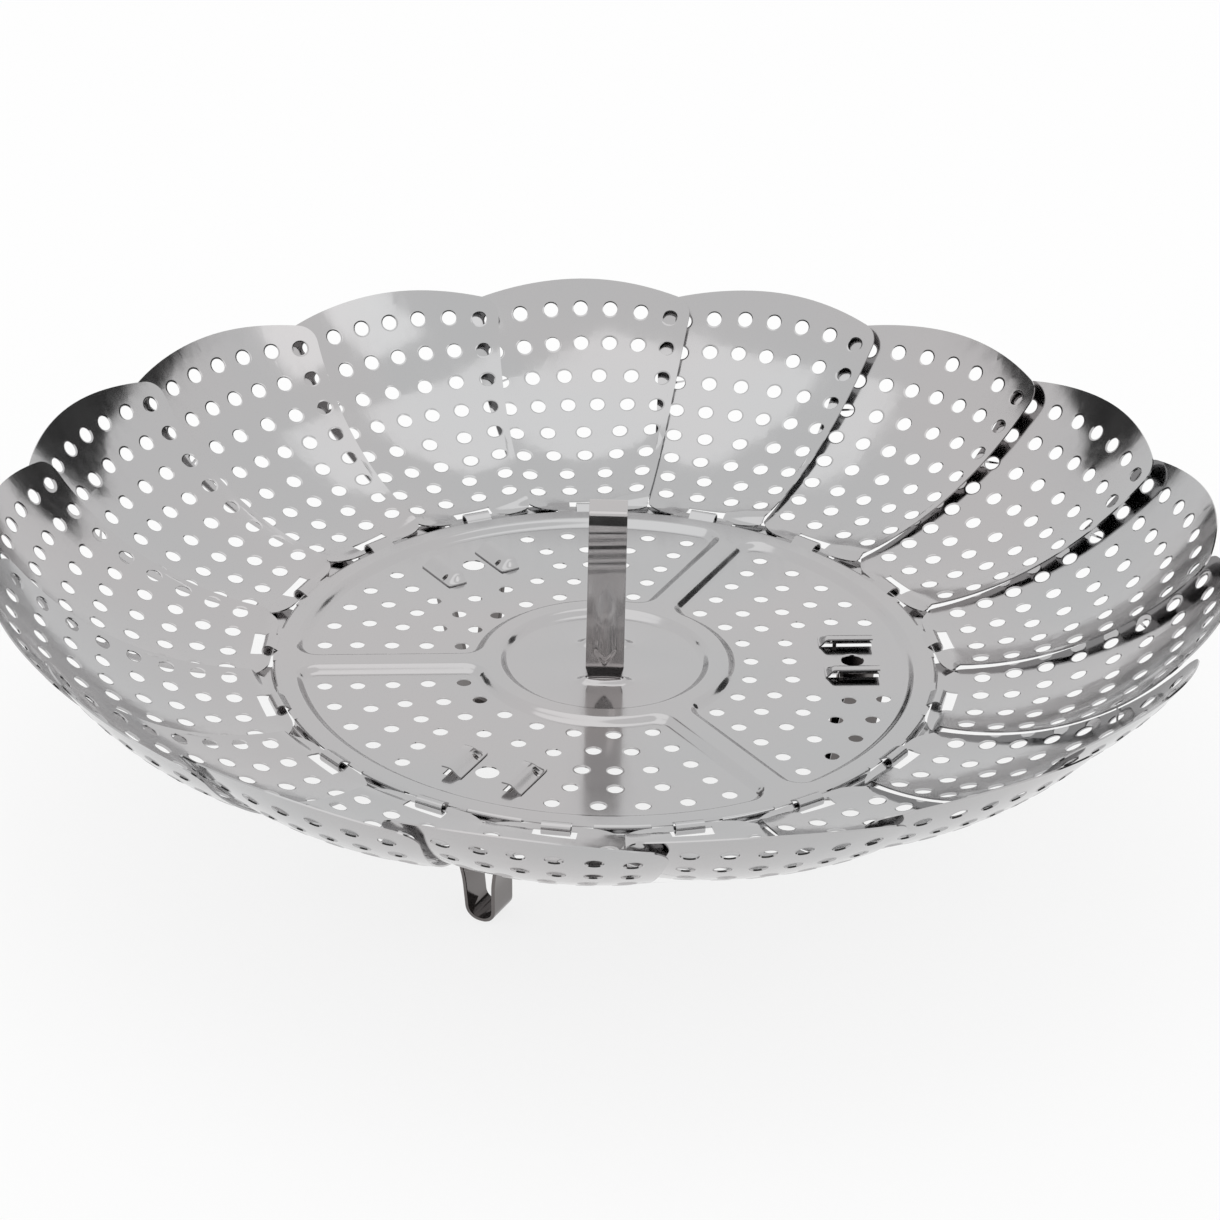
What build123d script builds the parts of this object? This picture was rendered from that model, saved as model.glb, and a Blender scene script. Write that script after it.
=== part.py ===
from build123d import *
from math import acos, atan2, cos, degrees, hypot, radians, sin
import os

os.makedirs("parts", exist_ok=True)

# Driving dimensions of the whole basket, in millimetres and degrees
petal_count = 17
foot_count = 3
first_petal_angle = 89.5
sheet = 0.5
strip = 0.8
strip_width = 8.2
hinge_height = 36.0
hinge_radius = 73.2
cut_overrun = 2.0

# Petal hinges: a bar on each petal turns inside a curl of the plate's rim
bar_width = 1.4
curl_bore = 1.8
curl_wrap = 265
tab_rise_run = 2.3
tab_width = 6.0
window_width = 9.0
window_depth = 3.0
petal_edge_gap = 0.5

# Petal outline and dish
petal_length = 71.0
petal_dish_radius = 68.8
petal_inner_half_width = 13.6
petal_outer_half_width = 28.5
petal_inner_corner = 6.5
petal_tip_corner = 5.0
petal_tip_radius = 55.0
petal_cross_radius = 100.0
petal_roll = 4.3
roll_ramp_length = 4.5
petal_hole = 3.5

# Rows of petal holes: height up the petal, fall towards the row's ends, and places across
petal_row_shares = (
    (0.1225, 0.011, (-0.76, -0.27, 0.27, 0.76)),
    (0.217, 0.011, (-0.797, -0.268, 0.268, 0.797)),
    (0.313, 0.009, (-0.80, -0.41, 0, 0.41, 0.80)),
    (0.419, 0.012, (-0.817, -0.434, 0, 0.434, 0.817)),
    (0.535, 0.024, (-0.829, -0.498, -0.162, 0.162, 0.498, 0.829)),
    (0.649, 0.030, (-0.846, -0.515, -0.18, 0.18, 0.515, 0.846)),
    (0.772, 0.039, (-0.84, -0.554, -0.275, 0, 0.275, 0.554, 0.84)),
    (0.896, 0.048, (-0.823, -0.549, -0.267, 0, 0.267, 0.549, 0.823)),
)

# Plate pressing
centre_disc_radius = 22.0
ring_rib_outer_radius = 27.6
rim_inner_radius = 66.6
rib_width = 6.5
rim_rise = 0.3
press_depth = 1.4
sector_corner = 3.5
wall_slope = 45
skirt_notch_width = 14.8
plate_hole = 3.0
foot_gap_hole = 4.2

# Rows of holes in each perforated sector: radius, and angles to both sides of the foot
sector_row_shares = (
    (0.444, (0, 15, 30, 45)),
    (0.561, (0,)),
    (0.571, (11.6,)),
    (0.539, (23.1,)),
    (0.544, (34.8,)),
    (0.549, (47.4,)),
    (0.653, (20.8, 29.2, 38.3, 49.0)),
    (0.757, (19.2, 28.9, 39.2, 50.2)),
    (0.854, (16.5, 25.4, 33.9, 42.7, 51.3)),
)

# Feet and the louvers that carry them
foot_pivot_radius = 51.0
foot_pivot_rise = 0.75
foot_leg_spread = 14.0
foot_base_spread = 8.6
foot_bend = 3.0
foot_knee = 12.0
foot_straight = 2.6
foot_lean = 4.0
foot_pin = 0.9
foot_pin_gap = 0.15
foot_neck = 0.8
foot_neck_to_body = 1.2
foot_web_depth = 0.75
foot_top_gap = 0.2
foot_pin_overhang = 0.3
louver_clear_height = 1.5
louver_width = 3.2
louver_inner_gap = 0.4
louver_outer_gap = 0.6

# Handle and the lipped slots that hold it
handle_height = 38.1
handle_slot_spread = 17.0
handle_top_spread = 7.6
handle_top_bend = 3.2
handle_knee_height = 3.6
handle_knee_bend = 5.0
handle_neck_width = 7.0
handle_shoulder_height = 3.3
handle_lift = 2.0
handle_hook = 2.6
handle_hook_bend = 1.2
handle_gap = 0.3
lip_height = 1.0
lip_length = 9.8
lip_width = 3.6
bead_width = 2.6
bead_height = 0.5
bead_bottom = 4.9
bead_top = 20.5
bead_slope = 40

# Sizes that follow from the ones above
petal_pitch = 360 / petal_count
foot_pitch = 360 / foot_count
plate_radius = hinge_radius - bar_width / 2 - petal_edge_gap
rim_top = hinge_height + rim_rise
floor_top = rim_top - press_depth
floor_bottom = floor_top - sheet
slope_run = press_depth / 2
dish_start_radius = hinge_radius + bar_width / 2
dish_centre_height = hinge_height + petal_dish_radius
foot_pivot_height = floor_top + foot_pivot_rise
foot_top_height = floor_bottom - foot_top_gap
foot_inner_radius = foot_pivot_radius + foot_neck / 2 + foot_neck_to_body
foot_outer_radius = foot_inner_radius + strip_width
louver_inner_radius = foot_pivot_radius - foot_neck - foot_pivot_rise - louver_inner_gap - foot_web_depth
louver_outer_radius = foot_outer_radius - louver_outer_gap
louver_length = louver_outer_radius - louver_inner_radius
louver_top = floor_top + louver_clear_height + sheet
handle_top = floor_top + handle_height
hook_height = floor_bottom - handle_lift - handle_gap - strip / 2


def petal_angle(along):
    """Slope of the petal, in degrees, at a distance along it from the hinge."""
    return max(0, degrees((along - bar_width / 2) / petal_dish_radius))


def petal_plane(along, roll=0):
    """Section plane of the petal: x runs across it, y is its inner normal."""
    slope = radians(petal_angle(along))
    turn = radians(roll)
    if slope > 0:
        radius = dish_start_radius + petal_dish_radius * sin(slope)
    else:
        radius = hinge_radius + along
    height = hinge_height + petal_dish_radius * (1 - cos(slope))
    inner_normal = Vector(-sin(slope), 0, cos(slope))
    across = Vector(0, -1, 0) * cos(turn) + inner_normal * sin(turn)
    outward = Vector(cos(slope), 0, sin(slope))
    return Plane(origin=(radius, 0, height), x_dir=across, z_dir=-outward)


def cross_rise(across):
    """How far the dished section has risen at a distance across the petal."""
    return across**2 / (2 * petal_cross_radius)


def petal_half_width(along):
    """Half the petal's width at a distance along it from the hinge."""
    growth = (petal_outer_half_width - petal_inner_half_width) / petal_length
    return petal_inner_half_width + growth * along


def petal_hole_places():
    """A plane square to the sheet at the centre of each of the petal's holes."""
    places = []
    for along_share, fall_share, across_shares in petal_row_shares:
        for across_share in across_shares:
            end_share = across_share / max(across_shares)
            along = petal_length * (along_share - fall_share * end_share**2)
            across = petal_half_width(along) * across_share
            section = petal_plane(along, petal_roll)
            lean = across / petal_cross_radius
            centre = section.from_local_coords((across, cross_rise(across), 0))
            normal = section.y_dir * cos(lean) - section.x_dir * sin(lean)
            places.append(Plane(origin=centre, z_dir=normal))
    return places


def make_tip_outline():
    """Rounded tip of the petal, drawn flat, with the tip's top on the line y = 0."""
    side_margin = sheet / 4
    upper_reach = petal_half_width(petal_length) + side_margin
    lower_reach = petal_half_width(0) + side_margin
    with BuildSketch() as tip:
        with BuildLine():
            Polyline(
                (-upper_reach, 0),
                (-lower_reach, -petal_length),
                (lower_reach, -petal_length),
                (upper_reach, 0),
                close=True,
            )
        make_face()
        with BuildSketch(mode=Mode.INTERSECT):
            with Locations((0, -petal_tip_radius)):
                Circle(petal_tip_radius)
            with Locations((0, -petal_tip_radius)):
                Rectangle(2 * upper_reach, 2 * petal_tip_radius, align=(Align.CENTER, Align.MAX))
        corners = [corner for corner in tip.vertices() if corner.Y > -petal_length / 2]
        fillet(corners, petal_tip_corner)
    return tip


def make_petal():
    """One perforated petal, with its hinge on the +X side of the basket."""
    blank_half_width = petal_outer_half_width + cut_overrun
    ramp_end = bar_width / 2 + roll_ramp_length
    mid_slope = radians(petal_angle(petal_length) / 2)
    tip_section = petal_plane(petal_length - petal_tip_corner, petal_roll)
    tip_outline = make_tip_outline()
    with BuildPart() as petal:
        # Flat strip that holds the hinge bar
        with BuildSketch(petal_plane(-bar_width / 2)):
            Rectangle(2 * blank_half_width, sheet)
        extrude(amount=-bar_width)
        # Short ramp over which the petal rolls and takes its cross curve
        with BuildSketch(petal_plane(bar_width / 2)):
            Rectangle(2 * blank_half_width, sheet)
        with BuildSketch(petal_plane(ramp_end, petal_roll)) as ramp_section:
            rise = cross_rise(blank_half_width)
            upper_end = rise + sheet / 2
            lower_end = rise - sheet / 2
            with BuildLine():
                upper = ThreePointArc((-blank_half_width, upper_end), (0, sheet / 2), (blank_half_width, upper_end))
                lower = ThreePointArc((-blank_half_width, lower_end), (0, -sheet / 2), (blank_half_width, lower_end))
                Line(upper @ 0, lower @ 0)
                Line(upper @ 1, lower @ 1)
            make_face()
        loft(ruled=True)
        # Dished main sheet, turned about the centre line of the dish
        add(ramp_section.sketch)
        dish_axis = Axis((dish_start_radius, 0, dish_centre_height), (0, -1, 0))
        dish_turn = petal_angle(petal_length + cut_overrun) - petal_angle(ramp_end)
        revolve(axis=dish_axis, revolution_arc=dish_turn)
        # Straight sides and rounded inner corners
        side_plane = Plane(
            origin=(hinge_radius, 0, hinge_height),
            x_dir=(0, -1, 0),
            z_dir=(-sin(mid_slope), 0, cos(mid_slope)),
        )
        with BuildSketch(side_plane) as side_outline:
            seen_length = 2 * petal_dish_radius * sin(mid_slope) + bar_width / 2
            growth = (petal_outer_half_width - petal_inner_half_width) / seen_length
            inner_line = -(bar_width + sheet) / 2
            outer_line = seen_length + cut_overrun + petal_tip_corner
            inner_reach = petal_inner_half_width + growth * inner_line
            outer_reach = petal_inner_half_width + growth * outer_line
            with BuildLine():
                Polyline(
                    (-inner_reach, inner_line),
                    (inner_reach, inner_line),
                    (outer_reach, outer_line),
                    (-outer_reach, outer_line),
                    close=True,
                )
            make_face()
            fillet(side_outline.vertices().sort_by(Axis.Y)[0:2], petal_inner_corner)
        extrude(amount=petal_dish_radius, both=True, mode=Mode.INTERSECT)
        # Scalloped tip with its rounded corners
        with BuildSketch(Plane(origin=tip_section.origin, x_dir=tip_section.x_dir, z_dir=tip_section.y_dir)):
            Rectangle(4 * petal_outer_half_width, 4 * petal_tip_corner)
            with Locations((0, petal_tip_corner)):
                add(tip_outline.sketch, mode=Mode.SUBTRACT)
        extrude(amount=petal_tip_corner, both=True, mode=Mode.SUBTRACT)
        # Window behind the hinge bar
        with Locations((dish_start_radius, 0, hinge_height)):
            Box(
                window_depth,
                window_width,
                2 * cut_overrun,
                align=(Align.MIN, Align.CENTER, Align.CENTER),
                mode=Mode.SUBTRACT,
            )
        # Steam holes
        with Locations(*petal_hole_places()):
            Cylinder(petal_hole / 2, 2 * cut_overrun, mode=Mode.SUBTRACT)
    return petal


def make_hinge_tab():
    """One tab of the plate's rim, on the +X side, curled round the hinge bar's place."""
    curl_radius = (curl_bore + sheet) / 2
    root_radius = rim_inner_radius + slope_run + sheet
    root_height = rim_top - sheet / 2
    rise_start = hinge_radius - tab_rise_run
    start_distance = hypot(tab_rise_run, root_height - hinge_height)
    sight_angle = degrees(atan2(root_height - hinge_height, -tab_rise_run))
    touch_angle = sight_angle - degrees(acos(curl_radius / start_distance))
    touch_radius = hinge_radius + curl_radius * cos(radians(touch_angle))
    touch_height = hinge_height + curl_radius * sin(radians(touch_angle))
    with BuildPart() as tab:
        with BuildSketch(Plane.XZ) as curl:
            with BuildLine():
                Line((root_radius, root_height), (rise_start, root_height))
                Line((rise_start, root_height), (touch_radius, touch_height))
                CenterArc((hinge_radius, hinge_height), curl_radius, touch_angle, -curl_wrap)
            trace(line_width=sheet)
        extrude(amount=tab_width / 2, both=True)
    return tab


def make_louver(side):
    """One raised louver of the foot on the +X side; side is -1 or 1 along the rim."""
    slot_middle = side * foot_leg_spread / 2
    wall_outside = slot_middle + louver_width / 2
    with BuildPart() as louver:
        # Upright wall on the far side of the slot, then the flat roof over it
        with BuildSketch(Plane.YZ.offset(louver_inner_radius)):
            with BuildLine():
                Polyline(
                    (wall_outside, floor_bottom),
                    (wall_outside, louver_top),
                    (wall_outside - louver_width, louver_top),
                    (wall_outside - louver_width, louver_top - sheet),
                    (wall_outside - sheet, louver_top - sheet),
                    (wall_outside - sheet, floor_bottom),
                    close=True,
                )
            make_face()
        extrude(amount=louver_length)
        # Bearing hole for the foot's pin
        with BuildSketch(Plane.XZ.offset(-wall_outside)):
            with Locations((foot_pivot_radius, foot_pivot_height)):
                Circle(foot_pin / 2 + foot_pin_gap)
        extrude(amount=sheet + cut_overrun / 2, both=True, mode=Mode.SUBTRACT)
    return louver


def make_pressed_block(radius, bottom, top, floor):
    """Round block whose top carries the plate's pressed pattern, with its floors at one height."""
    rise = top - floor + cut_overrun
    with BuildPart() as block:
        with BuildSketch(Plane.XY.offset(bottom)):
            Circle(radius)
        extrude(amount=top - bottom)
        # Round central disc
        with BuildSketch(Plane.XY.offset(floor)):
            Circle(centre_disc_radius - slope_run)
        extrude(amount=rise, taper=-wall_slope, mode=Mode.SUBTRACT)
        # Sectors between the three radial ribs
        with BuildSketch(Plane.XY.offset(floor)) as sectors:
            Circle(rim_inner_radius - slope_run)
            Circle(ring_rib_outer_radius + slope_run, mode=Mode.SUBTRACT)
            with PolarLocations(0, foot_count, start_angle=foot_pitch / 2):
                Rectangle(
                    plate_radius,
                    rib_width + 2 * slope_run,
                    align=(Align.MIN, Align.CENTER),
                    mode=Mode.SUBTRACT,
                )
            fillet(sectors.vertices(), sector_corner)
        extrude(amount=rise, taper=-wall_slope, mode=Mode.SUBTRACT)
    return block


def sector_hole_places():
    """Centres of the small holes of all the perforated sectors."""
    places = []
    for radius_share, angles in sector_row_shares:
        radius = plate_radius * radius_share
        for foot in range(foot_count):
            middle = foot * foot_pitch
            for angle in sorted({side * angle for angle in angles for side in (-1, 1)}):
                turn = radians(middle + angle)
                places.append((radius * cos(turn), radius * sin(turn)))
    return places


def make_base_plate():
    """The pressed plate with its hinge tabs, foot louvers and lipped handle slots."""
    hinge_tab = make_hinge_tab()
    outside = make_pressed_block(plate_radius, floor_bottom, rim_top, floor_top)
    inside = make_pressed_block(plate_radius - sheet, floor_bottom - cut_overrun, rim_top - sheet, floor_bottom)
    slot_length = handle_neck_width + 2 * handle_gap
    slot_width = strip + 2 * handle_gap
    with BuildPart() as plate:
        add(outside.part)
        add(inside.part, mode=Mode.SUBTRACT)
        # Notches in the down-turned edge, and the hinge tabs in them
        with PolarLocations(plate_radius, petal_count, start_angle=first_petal_angle):
            with Locations((0, 0, rim_top - sheet)):
                Box(
                    2 * sheet + cut_overrun,
                    skirt_notch_width,
                    press_depth + cut_overrun,
                    align=(Align.CENTER, Align.CENTER, Align.MAX),
                    mode=Mode.SUBTRACT,
                )
        with PolarLocations(0, petal_count, start_angle=first_petal_angle):
            add(hinge_tab.part)
        # Steam holes and the larger hole over each foot
        with BuildSketch(Plane.XY.offset(floor_bottom)):
            with Locations(*sector_hole_places()):
                Circle(plate_hole / 2)
            with PolarLocations((louver_inner_radius + louver_outer_radius) / 2, foot_count):
                Circle(foot_gap_hole / 2)
        extrude(amount=sheet + cut_overrun, mode=Mode.SUBTRACT)
        # Slots for the feet, each under its louver
        for side in (-1, 1):
            louver = make_louver(side)
            slot_middle = side * foot_leg_spread / 2 - sheet / 2
            with PolarLocations(0, foot_count):
                with Locations((louver_inner_radius, slot_middle, floor_bottom - cut_overrun)):
                    Box(
                        louver_length,
                        louver_width - sheet,
                        sheet + 2 * cut_overrun,
                        align=(Align.MIN, Align.CENTER, Align.MIN),
                        mode=Mode.SUBTRACT,
                    )
                add(louver.part)
        # Raised lips round the handle slots
        with BuildSketch(Plane.XY.offset(floor_top)):
            with Locations((0, handle_slot_spread / 2), (0, -handle_slot_spread / 2)):
                SlotOverall(lip_length, lip_width)
        extrude(amount=lip_height, taper=wall_slope / 2)
        with BuildSketch(Plane.XY.offset(floor_bottom)):
            with Locations((0, handle_slot_spread / 2), (0, -handle_slot_spread / 2)):
                Rectangle(slot_length, slot_width)
        extrude(amount=sheet + lip_height + cut_overrun, mode=Mode.SUBTRACT)
    return plate


def make_foot():
    """One folding foot on the +X side: a bent strip with a neck and a pin on each leg."""
    leg = foot_leg_spread / 2
    base = foot_base_spread / 2
    neck_bottom = foot_top_height - foot_web_depth
    with BuildPart() as foot:
        # U-shaped strip
        with BuildSketch(Plane.YZ.offset(foot_inner_radius - foot_lean)):
            with BuildLine():
                FilletPolyline(
                    (-leg, foot_top_height),
                    (-leg, foot_top_height - foot_straight),
                    (-base, strip / 2),
                    (base, strip / 2),
                    (leg, foot_top_height - foot_straight),
                    (leg, foot_top_height),
                    radius=[foot_knee, foot_bend, foot_bend, foot_knee],
                )
            trace(line_width=strip)
        extrude(amount=strip_width + foot_lean)
        # Slanting edges, so that the strip runs inward towards its base
        with BuildSketch(Plane.XZ):
            with BuildLine():
                Polyline(
                    (foot_inner_radius, foot_top_height),
                    (foot_outer_radius, foot_top_height),
                    (foot_outer_radius - foot_lean, 0),
                    (foot_inner_radius - foot_lean, 0),
                    close=True,
                )
            make_face()
        extrude(amount=foot_leg_spread, both=True, mode=Mode.INTERSECT)
        # Neck of each leg and the web that joins it to the strip
        for side in (-1, 1):
            with BuildSketch(Plane.XZ.offset(-side * leg)):
                with BuildLine():
                    neck_inner = foot_pivot_radius - foot_neck / 2
                    neck_outer = foot_pivot_radius + foot_neck / 2
                    Polyline(
                        (neck_inner, neck_bottom),
                        (neck_inner, foot_pivot_height),
                        (neck_outer, foot_pivot_height),
                        (neck_outer, foot_top_height),
                        (foot_inner_radius, foot_top_height),
                        (foot_inner_radius, neck_bottom),
                        close=True,
                    )
                make_face()
                with Locations((foot_pivot_radius, foot_pivot_height)):
                    Circle(foot_neck / 2)
            extrude(amount=strip / 2, both=True)
            # Pin that turns in the louver's wall
            with BuildSketch(Plane.XZ.offset(-side * leg)):
                with Locations((foot_pivot_radius, foot_pivot_height)):
                    Circle(foot_pin / 2)
            extrude(amount=-(louver_width / 2 + foot_pin_overhang))
    return foot


def make_handle():
    """The upright strip handle, with its shoulders, beads and hooked ends."""
    slot = handle_slot_spread / 2
    top = handle_top_spread / 2
    hook_end = slot + handle_hook
    knee = floor_top + handle_knee_height
    shoulder = floor_top + handle_shoulder_height
    lip_top = floor_top + lip_height
    crown = handle_top - strip / 2
    with BuildPart() as handle:
        # Bent strip
        with BuildSketch(Plane.YZ.offset(-strip_width / 2)):
            with BuildLine():
                FilletPolyline(
                    (-hook_end, hook_height),
                    (-slot, hook_height),
                    (-slot, knee),
                    (-top, crown),
                    (top, crown),
                    (slot, knee),
                    (slot, hook_height),
                    (hook_end, hook_height),
                    radius=[
                        handle_hook_bend,
                        handle_knee_bend,
                        handle_top_bend,
                        handle_top_bend,
                        handle_knee_bend,
                        handle_hook_bend,
                    ],
                )
            trace(line_width=strip)
        extrude(amount=strip_width)
        # Long bead pressed outward in the lower half of each leg
        bead_length = bead_top - bead_bottom
        for side in (-1, 1):
            foot_of_bead = slot - (bead_bottom - handle_knee_height) * (slot - top) / (crown - knee)
            bead_plane = Plane(
                origin=(0, side * foot_of_bead, floor_top + bead_bottom),
                x_dir=(side, 0, 0),
                z_dir=(0, side * (crown - knee), slot - top),
            )
            with BuildSketch(bead_plane):
                with BuildLine():
                    Polyline(
                        (-bead_width / 2, 0),
                        (bead_width / 2, 0),
                        (bead_width / 2, -bead_length + bead_width),
                        (0, -bead_length),
                        (-bead_width / 2, -bead_length + bead_width),
                        close=True,
                    )
                make_face()
            extrude(amount=strip / 2 + bead_height, taper=bead_slope)
        # Narrow necks below the sloping shoulders
        for side in (-1, 1):
            with BuildSketch(Plane.XZ):
                with BuildLine():
                    Polyline(
                        (side * strip_width / 2, shoulder),
                        (side * handle_neck_width / 2, lip_top),
                        (side * handle_neck_width / 2, hook_height - cut_overrun),
                        (side * strip_width, hook_height - cut_overrun),
                        (side * strip_width, shoulder),
                        close=True,
                    )
                make_face()
            extrude(amount=hook_end + cut_overrun, both=True, mode=Mode.SUBTRACT)
    return handle


def write_piece(piece, name):
    """Label a finished piece and write it under its name."""
    piece.part.label = name
    export_step(piece.part, f"parts/{name}.step")


base_plate = make_base_plate()
write_piece(base_plate, "base_plate")

petal_blank = make_petal()
for number in range(petal_count):
    with BuildPart() as petal:
        add(petal_blank.part, rotation=(0, 0, first_petal_angle - number * petal_pitch))
    write_piece(petal, f"petal_{number + 1:02d}")

foot_blank = make_foot()
for number in range(foot_count):
    with BuildPart() as foot:
        add(foot_blank.part, rotation=(0, 0, number * foot_pitch))
    write_piece(foot, f"foot_{number + 1}")

lift_handle = make_handle()
write_piece(lift_handle, "lift_handle")
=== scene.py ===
"""Folding steamer basket: its sheet steel pieces, finishes and studio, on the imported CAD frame."""

from math import acos, atan2, ceil, cos, degrees, pi, radians, sin, sqrt, tan

import bmesh
import bpy
from bpy.props import FloatProperty, FloatVectorProperty, PointerProperty
from mathutils import Matrix, Vector
from mathutils.kdtree import KDTree


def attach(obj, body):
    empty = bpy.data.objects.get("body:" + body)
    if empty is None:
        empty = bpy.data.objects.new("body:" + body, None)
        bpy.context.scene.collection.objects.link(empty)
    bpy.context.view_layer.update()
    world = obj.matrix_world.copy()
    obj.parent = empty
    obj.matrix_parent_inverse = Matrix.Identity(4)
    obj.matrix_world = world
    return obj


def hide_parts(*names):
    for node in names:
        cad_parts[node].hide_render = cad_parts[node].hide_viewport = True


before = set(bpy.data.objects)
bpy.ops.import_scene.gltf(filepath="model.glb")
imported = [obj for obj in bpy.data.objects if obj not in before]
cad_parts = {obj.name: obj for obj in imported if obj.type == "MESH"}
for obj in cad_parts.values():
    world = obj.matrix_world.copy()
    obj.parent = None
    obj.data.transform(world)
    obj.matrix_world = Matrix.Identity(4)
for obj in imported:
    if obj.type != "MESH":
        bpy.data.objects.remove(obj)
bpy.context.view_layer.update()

bl_info = {
    "name": "Folding Steamer Basket",
    "version": (1, 0, 0),
    "blender": (4, 5, 0),
    "location": "View3D > Sidebar > Steamer",
    "description": "Petals, plate, feet and handle of a folding steamer basket, with its studio",
    "category": "Object",
}

# Main sizes of the basket, in metres, degrees and counts
mm = 0.001
petal_count = 17
foot_count = 3
first_petal_angle = 89.5
hinge_height = 36 * mm
hinge_radius = 73.2 * mm
bar_width = 1.4 * mm
floor_top = 34.9 * mm
rim_top = 36.3 * mm

# Fineness of the meshes, and the angles past which edges stay sharp, in degrees
same_place = 0.002 * mm
merge_distance = 0.1 * mm
arc_step = 11
corner_steps = 8
hole_points = 24
gap_points = 30
rod_points = 20
sheet_edge_angle = 38
strip_edge_angle = 40

# Petal outline, dish and holes
petal_length = 71 * mm
petal_inner_line = -0.95 * mm
petal_dish_radius = 68.8 * mm
petal_inner_half_width = 13.6 * mm
petal_outer_half_width = 28.5 * mm
petal_growth = (petal_outer_half_width - petal_inner_half_width) / petal_length
petal_inner_corner = (6 * mm, 3 * mm)
petal_hidden_margin = 3.4 * mm
margin_start = 1.2 * mm
margin_ramp = 5 * mm
margin_fall_start = 44 * mm
margin_fall_ramp = 24 * mm
margin_fall_share = 0.6
cut_corner_width = 1.2 * mm
cut_corner_length = 2.8 * mm
petal_tip_corner = 5 * mm
petal_tip_radius = 55 * mm
tip_corner_steps = 7
tip_steps = 22
petal_cross_radius = 100 * mm
petal_roll = radians(2.6)
roll_ramp_length = 2 * mm
ramp_cuts = 5
bend_spacing = 2.5 * mm
bend_cuts = 26
side_spacing = 2.9 * mm
side_cuts = 9
window_half_width = 4.5 * mm
window_depth = 3 * mm
petal_hole_radius = 1.8 * mm
petal_collar_radius = 2.25 * mm
collar_lead = 0.1 * mm
collar_reach_share = 1.02
petal_dip_leads = (0.25 * mm, 0.12 * mm)
petal_rows = (
    (0.1225, 0.011, (-0.76, -0.27, 0.27, 0.76)),
    (0.217, 0.011, (-0.797, -0.268, 0.268, 0.797)),
    (0.313, 0.009, (-0.80, -0.41, 0, 0.41, 0.80)),
    (0.419, 0.012, (-0.817, -0.434, 0, 0.434, 0.817)),
    (0.535, 0.024, (-0.829, -0.498, -0.162, 0.162, 0.498, 0.829)),
    (0.649, 0.030, (-0.846, -0.515, -0.18, 0.18, 0.515, 0.846)),
    (0.772, 0.039, (-0.84, -0.554, -0.275, 0, 0.275, 0.554, 0.84)),
    (0.896, 0.048, (-0.823, -0.549, -0.267, 0, 0.267, 0.549, 0.823)),
)

# Plate pressing and its holes
disc_floor_radius = 21.3 * mm
disc_points = 90
sector_inner_radius = 28.3 * mm
sector_inner_steps = 12
sector_outer_radius = 65.9 * mm
sector_outer_steps = 20
rib_half_width = 3.95 * mm
sector_corner = 3.5 * mm
wall_offsets = tuple(step * mm for step in (-0.65, -0.5, -0.1, 0.3, 0.7, 1.1, 1.5, 1.9, 2.05))
rim_edge_radius = 70.9 * mm
rim_points_per_petal = 18
plate_radius = 72 * mm
skirt_steps = 6
notch_half_width = 7.4 * mm
lip_drop = 0.05 * mm
tab_half_width = 3 * mm
tab_shares = (1, 0.94, 0.5, 0, -0.5, -0.94, -1)
tab_reach = 2.3 * mm
curl_radius = 1.4 * mm
curl_turn = radians(265)
curl_steps = 22
plate_hole_radius = 1.6 * mm
plate_collar_radius = 2.05 * mm
plate_dip = 0.06 * mm
plate_dip_leads = (0.2 * mm, 0.1 * mm)
gap_hole_radius = 2.5 * mm
gap_collar_radius = 2.9 * mm
gap_hole_place = 54.25 * mm
sector_rows = (
    (0.444, (0, 15, 30, 45)),
    (0.561, (0,)),
    (0.571, (11.6,)),
    (0.539, (23.1,)),
    (0.544, (34.8,)),
    (0.549, (47.4,)),
    (0.653, (20.8, 29.2, 38.3, 49.0)),
    (0.757, (19.2, 28.9, 39.2, 50.2)),
    (0.854, (16.5, 25.4, 33.9, 42.7, 51.3)),
)

# Louvers, feet and handle
louver_inner = 47.6 * mm
louver_outer = 59.3 * mm
louver_fade = 2 * mm
louver_slot_near = 0.8 * mm
louver_slot_far = 1.2 * mm
leg_spread = 7 * mm
louver_half_width = 1.6 * mm
pivot_radius = 51 * mm
pivot_height = 35.65 * mm
bearing_radius = 0.6 * mm
bearing_depth = 2.3 * mm
bearing_offset = 0.7 * mm
pin_radius = 0.45 * mm
pin_length = 2.5 * mm
pin_offset = 1.25 * mm
pin_rounding = 0.12 * mm
eye_radius = 0.4 * mm
web_depth = 0.4 * mm
web_overlap = 0.3 * mm
web_thickness_share = 0.96
foot_inner = 52.6 * mm
foot_width = 8.2 * mm
foot_shares = (0, 0.04, 0.25, 0.5, 0.75, 0.96, 1)
foot_lean = 4 * mm
foot_top = 34.2 * mm
strip_rounding = 0.16 * mm
slot_spread = 8.5 * mm
slot_points = 36
slot_roundness = 0.8
handle_turn = radians(-4.06)
handle_steps = 14
strip_half_width = 4.1 * mm
neck_half_width = 3.5 * mm
shoulder_height = 38.2 * mm
lip_top = 35.9 * mm
hook_reach = 11.1 * mm
hook_bottom = 31.7 * mm
leg_bend_height = 38.5 * mm
crown_corner = (4.1 * mm, 70.5 * mm)
crown_half_width = 3.15 * mm
crown_height = 72.6 * mm

# Bead in the handle's legs and ripples under its top, in millimetres; slants and sway are shares
bead_bottom, bead_bottom_slant, bead_bottom_lead, bead_bottom_ramp = 4.9, 1.1, 0.6, 1.4
bead_top, bead_top_slant, bead_top_ramp = 23.5, 1.5, 9
bead_half_width, bead_side_ramp = 2.7, 2.1
ripple_start, ripple_start_ramp, ripple_end, ripple_end_ramp = 3, 1.5, 15, 5
ripple_length, ripple_sway, ripple_height = 3.6, 0.05, 0.1

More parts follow.
